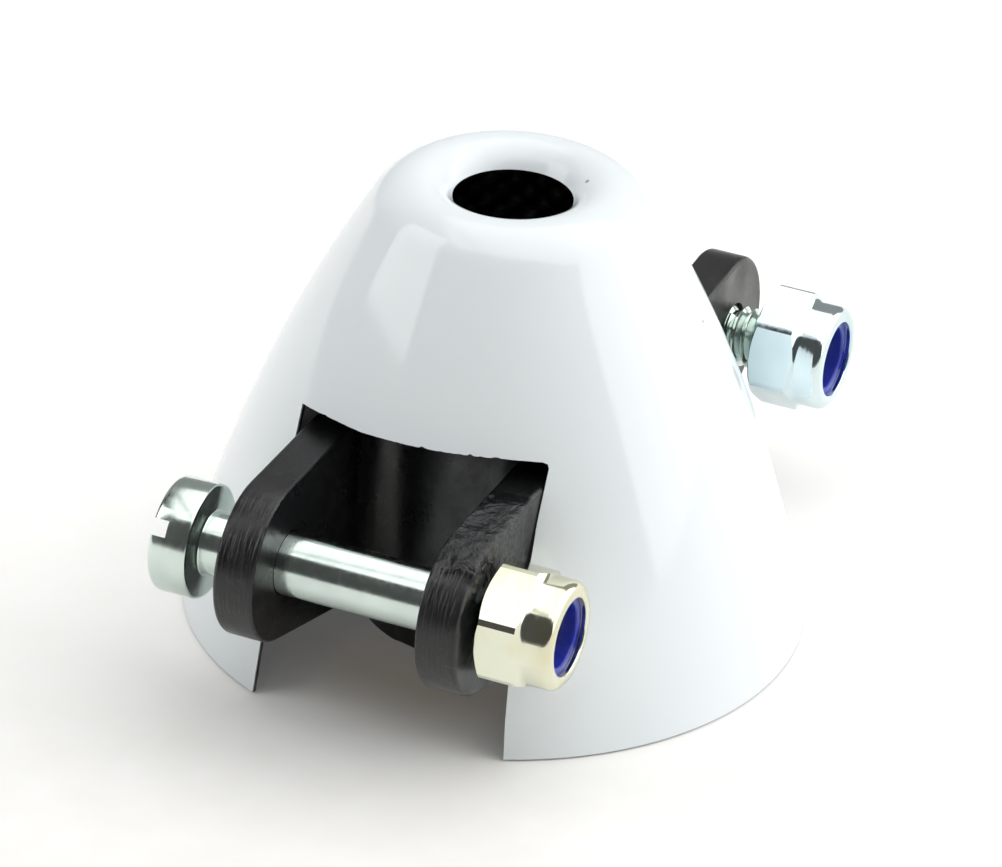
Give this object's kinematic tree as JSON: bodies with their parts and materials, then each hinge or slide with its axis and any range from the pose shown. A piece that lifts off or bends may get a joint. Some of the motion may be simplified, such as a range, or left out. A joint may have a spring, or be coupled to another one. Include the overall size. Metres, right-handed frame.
{
  "type": "folding propeller spinner",
  "caption": "Open-nosed propeller spinner shell on a forked yoke that carries two folding blades on nutted pivot screws.",
  "frame": {"origin": "on the spin axis, in the plane of the shell's rim, which is also the hub's lower face and the mouth of the shaft bore", "axes": "+Z along the spin axis out of the nose, +X along the front fork, Y along the pivot screws with the nuts on +Y"},
  "size_m": [0.0378, 0.03, 0.0226],
  "materials": {
    "gelcoat_laminate": "white gloss gelcoat over a thin black laminate",
    "fibre_board": "sawn black glass-epoxy board",
    "moulded_nylon": "black glass-filled nylon, moulded, semi-matt",
    "turned_brass": "turned",
    "black_steel": "blackened",
    "zinc_steel": "bright zinc plated, bluish",
    "zinc_nut": "bright zinc plated, slightly yellow",
    "blue_nylon": "deep blue nylon"
  },
  "bodies": {
    "spinner": {"shell": "gelcoat_laminate", "bulkhead": "fibre_board", "yoke": "moulded_nylon", "hub_bush": "turned_brass", "grub_screw_left": "black_steel", "grub_screw_right": "black_steel", "nose_screw": "zinc_steel", "nose_washer": "zinc_steel", "spring_washer": "zinc_steel"},
    "front_pin": {"pivot_screw_front": "zinc_steel"},
    "front_nut": {"lock_nut_front": "zinc_nut", "nylon_ring_front": "blue_nylon"},
    "rear_pin": {"pivot_screw_rear": "zinc_steel"},
    "rear_nut": {"lock_nut_rear": "zinc_nut", "nylon_ring_rear": "blue_nylon"}
  },
  "joints": [
    {"name": "front_nut_turn", "type": "hinge", "parent": "spinner", "child": "front_nut", "pos_m": [0.0151, 0, 0.0086], "axis": [0, -1, 0], "range_deg": [0, 1300]},
    {"name": "front_screw_draw", "type": "slide", "parent": "spinner", "child": "front_pin", "axis": [0, 1, 0], "range_m": [0, 0.0018]},
    {"name": "rear_screw_turn", "type": "hinge", "parent": "spinner", "child": "rear_pin", "pos_m": [-0.0151, 0, 0.0086], "axis": [0, 1, 0], "range_deg": [0, 1010]},
    {"name": "rear_nut_draw", "type": "slide", "parent": "spinner", "child": "rear_nut", "axis": [0, -1, 0], "range_m": [0, 0.0014]}
  ],
  "couplings": [
    {"joint": "front_nut_turn", "follows": "front_screw_draw", "rad_per_m": 12566},
    {"joint": "rear_screw_turn", "follows": "rear_nut_draw", "rad_per_m": 12566}
  ]
}
